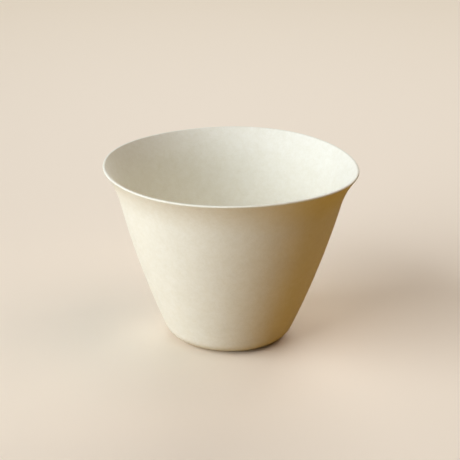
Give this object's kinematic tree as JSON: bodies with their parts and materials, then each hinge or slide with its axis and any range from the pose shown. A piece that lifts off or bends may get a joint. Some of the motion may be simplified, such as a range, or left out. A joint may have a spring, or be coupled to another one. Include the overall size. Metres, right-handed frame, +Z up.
{
  "type": "paper sake cup",
  "caption": "Small tapering drinking cup pressed from paper pulp in one piece, with a flat foot, gently bulging sides and a lip flared to a thin rim with round edges.",
  "frame": {"origin": "centre of the foot's flat, on the surface that the cup stands on", "axes": "+Z up along the axis that the cup is round about; X and Y lie level and are alike"},
  "size_m": [0.073, 0.073, 0.052],
  "materials": {
    "pulp": "matt bare pressed pulp, faintly mottled"
  },
  "bodies": {
    "root": {"cup": "pulp"}
  },
  "joints": []
}
